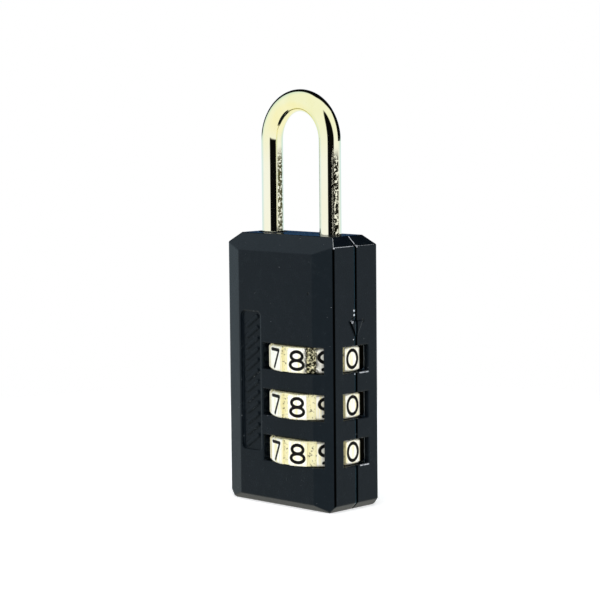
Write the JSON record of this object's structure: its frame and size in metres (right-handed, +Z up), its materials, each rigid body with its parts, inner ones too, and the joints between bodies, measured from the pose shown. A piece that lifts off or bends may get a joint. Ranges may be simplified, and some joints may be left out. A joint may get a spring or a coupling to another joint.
{
  "type": "luggage combination padlock",
  "caption": "Small luggage padlock with number dials in a two-shell cast case and a round shackle that lifts and swings on its heel leg.",
  "frame": {"origin": "middle of the case's flat bottom face", "axes": "+Z up along the shackle's legs, +X towards the side where the combination is read, -Y the front face"},
  "size_m": [0.0202, 0.0132, 0.0569],
  "materials": {
    "case_paint": "satin black paint on die-cast zinc",
    "shackle_brass": "bright brass plating",
    "dial_brass": "satin pale brass",
    "digit_enamel": "black enamel in engraved numerals",
    "hub_metal": "plain die-cast zinc",
    "steel": "zinc-plated steel",
    "spring_steel": "spring steel"
  },
  "bodies": {
    "case": {"front_case": "case_paint", "back_case": "case_paint", "case_pins": "steel", "guide_plate": "steel", "spring_post": "steel", "shackle_spring": "spring_steel", "reset_spring": "spring_steel", "reset_washer": "steel", "detent_spring_1": "spring_steel", "detent_spring_2": "spring_steel", "detent_spring_3": "spring_steel"},
    "carrier": {"carrier_plate": "steel", "spindle": "steel", "spindle_clip": "spring_steel"},
    "shackle": {"shackle": "shackle_brass"},
    "dial_1": {"dial_1": "dial_brass", "dial_1_digits": "digit_enamel", "hub_1": "hub_metal"},
    "dial_2": {"dial_2": "dial_brass", "dial_2_digits": "digit_enamel", "hub_2": "hub_metal"},
    "dial_3": {"dial_3": "dial_brass", "dial_3_digits": "digit_enamel", "hub_3": "hub_metal"}
  },
  "joints": [
    {"name": "shackle_lift", "type": "slide", "parent": "case", "child": "carrier", "axis": [0, 0, 1], "range_m": [-0.004, 0], "stiffness_N_per_m": 150, "springref_m": 0.006, "deforming": ["shackle_spring"]},
    {"name": "shackle_turn", "type": "hinge", "parent": "carrier", "child": "shackle", "pos_m": [0.00549, 0, 0.0318], "axis": [0, 0, 1], "continuous": true},
    {"name": "dial_1_turn", "type": "hinge", "parent": "case", "child": "dial_1", "pos_m": [0.00285, 0, 0.0206], "axis": [0, 0, 1], "continuous": true, "deforming": ["detent_spring_1"]},
    {"name": "dial_2_turn", "type": "hinge", "parent": "case", "child": "dial_2", "pos_m": [0.00285, 0, 0.01425], "axis": [0, 0, 1], "continuous": true, "deforming": ["detent_spring_2"]},
    {"name": "dial_3_turn", "type": "hinge", "parent": "case", "child": "dial_3", "pos_m": [0.00285, 0, 0.0079], "axis": [0, 0, 1], "continuous": true, "deforming": ["detent_spring_3"]}
  ]
}
